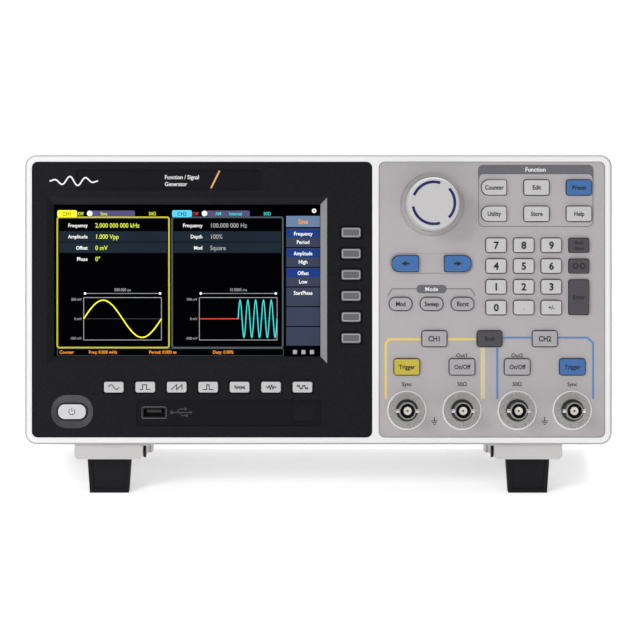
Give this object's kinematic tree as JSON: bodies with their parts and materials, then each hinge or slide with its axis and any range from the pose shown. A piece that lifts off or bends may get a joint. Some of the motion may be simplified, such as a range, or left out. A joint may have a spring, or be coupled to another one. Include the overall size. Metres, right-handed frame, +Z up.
{
  "type": "function generator",
  "caption": "Bench function generator with touch screen, key field, jog knob, coaxial outputs and folding front legs.",
  "frame": {"origin": "centre of the footprint on the bench, at the bottom of the opened legs and rear feet", "axes": "+X to the right of the face, +Y away from the user, +Z up; the case is tipped back 15 degrees on its legs"},
  "size_m": [0.34, 0.1362, 0.1912],
  "materials": {
    "frame_plastic": "fine satin",
    "fascia_plastic": "fine matte",
    "bezel_plastic": "fine texture",
    "screen_glass": "gloss",
    "cover_plastic": "fine texture",
    "board_laminate": "satin",
    "jack_metal": "nickel",
    "socket_plastic": "matte",
    "foot_plastic": "matte",
    "knob_plastic": "satin",
    "stem_metal": "satin",
    "leg_plastic": "satin",
    "key_power": "milky",
    "key_light": "satin",
    "key_soft": "satin",
    "key_blue": "satin",
    "key_yellow": "satin",
    "key_grey": "satin",
    "key_dark": "satin"
  },
  "bodies": {
    "case": {"front_frame": "frame_plastic", "keypad_fascia": "fascia_plastic", "display_bezel": "bezel_plastic", "touch_display": "screen_glass", "rear_cover": "cover_plastic", "circuit_boards": "board_laminate", "output_jacks": "jack_metal", "sockets": "socket_plastic", "feet": "foot_plastic"},
    "power_key_body": {"power_key": "key_power"},
    "sine_key_body": {"sine_key": "key_light"},
    "square_key_body": {"square_key": "key_light"},
    "ramp_key_body": {"ramp_key": "key_light"},
    "pulse_key_body": {"pulse_key": "key_light"},
    "noise_key_body": {"noise_key": "key_light"},
    "arbitrary_key_body": {"arbitrary_key": "key_light"},
    "harmonic_key_body": {"harmonic_key": "key_light"},
    "soft_key_1_body": {"soft_key_1": "key_soft"},
    "soft_key_2_body": {"soft_key_2": "key_soft"},
    "soft_key_3_body": {"soft_key_3": "key_soft"},
    "soft_key_4_body": {"soft_key_4": "key_soft"},
    "soft_key_5_body": {"soft_key_5": "key_soft"},
    "soft_key_6_body": {"soft_key_6": "key_soft"},
    "arrow_left_key_body": {"arrow_left_key": "key_blue"},
    "arrow_right_key_body": {"arrow_right_key": "key_blue"},
    "mod_key_body": {"mod_key": "key_grey"},
    "sweep_key_body": {"sweep_key": "key_grey"},
    "burst_key_body": {"burst_key": "key_grey"},
    "counter_key_body": {"counter_key": "key_light"},
    "edit_key_body": {"edit_key": "key_light"},
    "preset_key_body": {"preset_key": "key_blue"},
    "utility_key_body": {"utility_key": "key_light"},
    "store_key_body": {"store_key": "key_light"},
    "help_key_body": {"help_key": "key_light"},
    "digit_7_key_body": {"digit_7_key": "key_light"},
    "digit_8_key_body": {"digit_8_key": "key_light"},
    "digit_9_key_body": {"digit_9_key": "key_light"},
    "back_key_body": {"back_key": "key_dark"},
    "digit_4_key_body": {"digit_4_key": "key_light"},
    "digit_5_key_body": {"digit_5_key": "key_light"},
    "digit_6_key_body": {"digit_6_key": "key_light"},
    "clear_key_body": {"clear_key": "key_dark"},
    "digit_1_key_body": {"digit_1_key": "key_light"},
    "digit_2_key_body": {"digit_2_key": "key_light"},
    "digit_3_key_body": {"digit_3_key": "key_light"},
    "digit_0_key_body": {"digit_0_key": "key_light"},
    "point_key_body": {"point_key": "key_light"},
    "sign_key_body": {"sign_key": "key_light"},
    "enter_key_body": {"enter_key": "key_dark"},
    "channel_1_key_body": {"channel_1_key": "key_grey"},
    "both_key_body": {"both_key": "key_dark"},
    "channel_2_key_body": {"channel_2_key": "key_grey"},
    "trigger_1_key_body": {"trigger_1_key": "key_yellow"},
    "output_1_key_body": {"output_1_key": "key_grey"},
    "output_2_key_body": {"output_2_key": "key_grey"},
    "trigger_2_key_body": {"trigger_2_key": "key_blue"},
    "stem_body": {"encoder_stem": "stem_metal"},
    "knob_body": {"knob": "knob_plastic"},
    "left_leg_body": {"left_leg": "leg_plastic"},
    "right_leg_body": {"right_leg": "leg_plastic"}
  },
  "joints": [
    {"name": "knob_press", "type": "slide", "parent": "case", "child": "stem_body", "axis": [0, 0.9659, -0.2588], "range_m": [0, 0.0006], "stiffness_N_per_m": 2500, "springref_m": -0.0004},
    {"name": "knob_turn", "type": "hinge", "parent": "stem_body", "child": "knob_body", "pos_m": [0.0659, -0.02494, 0.16379], "axis": [0, 0.9659, -0.2588], "continuous": true},
    {"name": "left_leg_fold", "type": "hinge", "parent": "case", "child": "left_leg_body", "pos_m": [-0.1217, -0.05148, 0.02224], "axis": [1, 0, 0], "range_deg": [0, 90]},
    {"name": "right_leg_fold", "type": "hinge", "parent": "case", "child": "right_leg_body", "pos_m": [0.1217, -0.05148, 0.02224], "axis": [1, 0, 0], "range_deg": [0, 90]},
    {"name": "power_key_press", "type": "slide", "parent": "case", "child": "power_key_body", "axis": [0, 0.9659, -0.2588], "range_m": [0, 0.001], "stiffness_N_per_m": 1000, "springref_m": -0.0004},
    {"name": "sine_key_press", "type": "slide", "parent": "case", "child": "sine_key_body", "axis": [0, 0.9659, -0.2588], "range_m": [0, 0.001], "stiffness_N_per_m": 1000, "springref_m": -0.0004},
    {"name": "square_key_press", "type": "slide", "parent": "case", "child": "square_key_body", "axis": [0, 0.9659, -0.2588], "range_m": [0, 0.001], "stiffness_N_per_m": 1000, "springref_m": -0.0004},
    {"name": "ramp_key_press", "type": "slide", "parent": "case", "child": "ramp_key_body", "axis": [0, 0.9659, -0.2588], "range_m": [0, 0.001], "stiffness_N_per_m": 1000, "springref_m": -0.0004},
    {"name": "pulse_key_press", "type": "slide", "parent": "case", "child": "pulse_key_body", "axis": [0, 0.9659, -0.2588], "range_m": [0, 0.001], "stiffness_N_per_m": 1000, "springref_m": -0.0004},
    {"name": "noise_key_press", "type": "slide", "parent": "case", "child": "noise_key_body", "axis": [0, 0.9659, -0.2588], "range_m": [0, 0.001], "stiffness_N_per_m": 1000, "springref_m": -0.0004},
    {"name": "arbitrary_key_press", "type": "slide", "parent": "case", "child": "arbitrary_key_body", "axis": [0, 0.9659, -0.2588], "range_m": [0, 0.001], "stiffness_N_per_m": 1000, "springref_m": -0.0004},
    {"name": "harmonic_key_press", "type": "slide", "parent": "case", "child": "harmonic_key_body", "axis": [0, 0.9659, -0.2588], "range_m": [0, 0.001], "stiffness_N_per_m": 1000, "springref_m": -0.0004},
    {"name": "soft_key_1_press", "type": "slide", "parent": "case", "child": "soft_key_1_body", "axis": [0, 0.9659, -0.2588], "range_m": [0, 0.001], "stiffness_N_per_m": 1000, "springref_m": -0.0004},
    {"name": "soft_key_2_press", "type": "slide", "parent": "case", "child": "soft_key_2_body", "axis": [0, 0.9659, -0.2588], "range_m": [0, 0.001], "stiffness_N_per_m": 1000, "springref_m": -0.0004},
    {"name": "soft_key_3_press", "type": "slide", "parent": "case", "child": "soft_key_3_body", "axis": [0, 0.9659, -0.2588], "range_m": [0, 0.001], "stiffness_N_per_m": 1000, "springref_m": -0.0004},
    {"name": "soft_key_4_press", "type": "slide", "parent": "case", "child": "soft_key_4_body", "axis": [0, 0.9659, -0.2588], "range_m": [0, 0.001], "stiffness_N_per_m": 1000, "springref_m": -0.0004},
    {"name": "soft_key_5_press", "type": "slide", "parent": "case", "child": "soft_key_5_body", "axis": [0, 0.9659, -0.2588], "range_m": [0, 0.001], "stiffness_N_per_m": 1000, "springref_m": -0.0004},
    {"name": "soft_key_6_press", "type": "slide", "parent": "case", "child": "soft_key_6_body", "axis": [0, 0.9659, -0.2588], "range_m": [0, 0.001], "stiffness_N_per_m": 1000, "springref_m": -0.0004},
    {"name": "arrow_left_key_press", "type": "slide", "parent": "case", "child": "arrow_left_key_body", "axis": [0, 0.9659, -0.2588], "range_m": [0, 0.001], "stiffness_N_per_m": 1000, "springref_m": -0.0004},
    {"name": "arrow_right_key_press", "type": "slide", "parent": "case", "child": "arrow_right_key_body", "axis": [0, 0.9659, -0.2588], "range_m": [0, 0.001], "stiffness_N_per_m": 1000, "springref_m": -0.0004},
    {"name": "mod_key_press", "type": "slide", "parent": "case", "child": "mod_key_body", "axis": [0, 0.9659, -0.2588], "range_m": [0, 0.001], "stiffness_N_per_m": 1000, "springref_m": -0.0004},
    {"name": "sweep_key_press", "type": "slide", "parent": "case", "child": "sweep_key_body", "axis": [0, 0.9659, -0.2588], "range_m": [0, 0.001], "stiffness_N_per_m": 1000, "springref_m": -0.0004},
    {"name": "burst_key_press", "type": "slide", "parent": "case", "child": "burst_key_body", "axis": [0, 0.9659, -0.2588], "range_m": [0, 0.001], "stiffness_N_per_m": 1000, "springref_m": -0.0004},
    {"name": "counter_key_press", "type": "slide", "parent": "case", "child": "counter_key_body", "axis": [0, 0.9659, -0.2588], "range_m": [0, 0.001], "stiffness_N_per_m": 1000, "springref_m": -0.0004},
    {"name": "edit_key_press", "type": "slide", "parent": "case", "child": "edit_key_body", "axis": [0, 0.9659, -0.2588], "range_m": [0, 0.001], "stiffness_N_per_m": 1000, "springref_m": -0.0004},
    {"name": "preset_key_press", "type": "slide", "parent": "case", "child": "preset_key_body", "axis": [0, 0.9659, -0.2588], "range_m": [0, 0.001], "stiffness_N_per_m": 1000, "springref_m": -0.0004},
    {"name": "utility_key_press", "type": "slide", "parent": "case", "child": "utility_key_body", "axis": [0, 0.9659, -0.2588], "range_m": [0, 0.001], "stiffness_N_per_m": 1000, "springref_m": -0.0004},
    {"name": "store_key_press", "type": "slide", "parent": "case", "child": "store_key_body", "axis": [0, 0.9659, -0.2588], "range_m": [0, 0.001], "stiffness_N_per_m": 1000, "springref_m": -0.0004},
    {"name": "help_key_press", "type": "slide", "parent": "case", "child": "help_key_body", "axis": [0, 0.9659, -0.2588], "range_m": [0, 0.001], "stiffness_N_per_m": 1000, "springref_m": -0.0004},
    {"name": "digit_7_key_press", "type": "slide", "parent": "case", "child": "digit_7_key_body", "axis": [0, 0.9659, -0.2588], "range_m": [0, 0.001], "stiffness_N_per_m": 1000, "springref_m": -0.0004},
    {"name": "digit_8_key_press", "type": "slide", "parent": "case", "child": "digit_8_key_body", "axis": [0, 0.9659, -0.2588], "range_m": [0, 0.001], "stiffness_N_per_m": 1000, "springref_m": -0.0004},
    {"name": "digit_9_key_press", "type": "slide", "parent": "case", "child": "digit_9_key_body", "axis": [0, 0.9659, -0.2588], "range_m": [0, 0.001], "stiffness_N_per_m": 1000, "springref_m": -0.0004},
    {"name": "back_key_press", "type": "slide", "parent": "case", "child": "back_key_body", "axis": [0, 0.9659, -0.2588], "range_m": [0, 0.001], "stiffness_N_per_m": 1000, "springref_m": -0.0004},
    {"name": "digit_4_key_press", "type": "slide", "parent": "case", "child": "digit_4_key_body", "axis": [0, 0.9659, -0.2588], "range_m": [0, 0.001], "stiffness_N_per_m": 1000, "springref_m": -0.0004},
    {"name": "digit_5_key_press", "type": "slide", "parent": "case", "child": "digit_5_key_body", "axis": [0, 0.9659, -0.2588], "range_m": [0, 0.001], "stiffness_N_per_m": 1000, "springref_m": -0.0004},
    {"name": "digit_6_key_press", "type": "slide", "parent": "case", "child": "digit_6_key_body", "axis": [0, 0.9659, -0.2588], "range_m": [0, 0.001], "stiffness_N_per_m": 1000, "springref_m": -0.0004},
    {"name": "clear_key_press", "type": "slide", "parent": "case", "child": "clear_key_body", "axis": [0, 0.9659, -0.2588], "range_m": [0, 0.001], "stiffness_N_per_m": 1000, "springref_m": -0.0004},
    {"name": "digit_1_key_press", "type": "slide", "parent": "case", "child": "digit_1_key_body", "axis": [0, 0.9659, -0.2588], "range_m": [0, 0.001], "stiffness_N_per_m": 1000, "springref_m": -0.0004},
    {"name": "digit_2_key_press", "type": "slide", "parent": "case", "child": "digit_2_key_body", "axis": [0, 0.9659, -0.2588], "range_m": [0, 0.001], "stiffness_N_per_m": 1000, "springref_m": -0.0004},
    {"name": "digit_3_key_press", "type": "slide", "parent": "case", "child": "digit_3_key_body", "axis": [0, 0.9659, -0.2588], "range_m": [0, 0.001], "stiffness_N_per_m": 1000, "springref_m": -0.0004},
    {"name": "digit_0_key_press", "type": "slide", "parent": "case", "child": "digit_0_key_body", "axis": [0, 0.9659, -0.2588], "range_m": [0, 0.001], "stiffness_N_per_m": 1000, "springref_m": -0.0004},
    {"name": "point_key_press", "type": "slide", "parent": "case", "child": "point_key_body", "axis": [0, 0.9659, -0.2588], "range_m": [0, 0.001], "stiffness_N_per_m": 1000, "springref_m": -0.0004},
    {"name": "sign_key_press", "type": "slide", "parent": "case", "child": "sign_key_body", "axis": [0, 0.9659, -0.2588], "range_m": [0, 0.001], "stiffness_N_per_m": 1000, "springref_m": -0.0004},
    {"name": "enter_key_press", "type": "slide", "parent": "case", "child": "enter_key_body", "axis": [0, 0.9659, -0.2588], "range_m": [0, 0.001], "stiffness_N_per_m": 1000, "springref_m": -0.0004},
    {"name": "channel_1_key_press", "type": "slide", "parent": "case", "child": "channel_1_key_body", "axis": [0, 0.9659, -0.2588], "range_m": [0, 0.001], "stiffness_N_per_m": 1000, "springref_m": -0.0004},
    {"name": "both_key_press", "type": "slide", "parent": "case", "child": "both_key_body", "axis": [0, 0.9659, -0.2588], "range_m": [0, 0.001], "stiffness_N_per_m": 1000, "springref_m": -0.0004},
    {"name": "channel_2_key_press", "type": "slide", "parent": "case", "child": "channel_2_key_body", "axis": [0, 0.9659, -0.2588], "range_m": [0, 0.001], "stiffness_N_per_m": 1000, "springref_m": -0.0004},
    {"name": "trigger_1_key_press", "type": "slide", "parent": "case", "child": "trigger_1_key_body", "axis": [0, 0.9659, -0.2588], "range_m": [0, 0.001], "stiffness_N_per_m": 1000, "springref_m": -0.0004},
    {"name": "output_1_key_press", "type": "slide", "parent": "case", "child": "output_1_key_body", "axis": [0, 0.9659, -0.2588], "range_m": [0, 0.001], "stiffness_N_per_m": 1000, "springref_m": -0.0004},
    {"name": "output_2_key_press", "type": "slide", "parent": "case", "child": "output_2_key_body", "axis": [0, 0.9659, -0.2588], "range_m": [0, 0.001], "stiffness_N_per_m": 1000, "springref_m": -0.0004},
    {"name": "trigger_2_key_press", "type": "slide", "parent": "case", "child": "trigger_2_key_body", "axis": [0, 0.9659, -0.2588], "range_m": [0, 0.001], "stiffness_N_per_m": 1000, "springref_m": -0.0004}
  ]
}
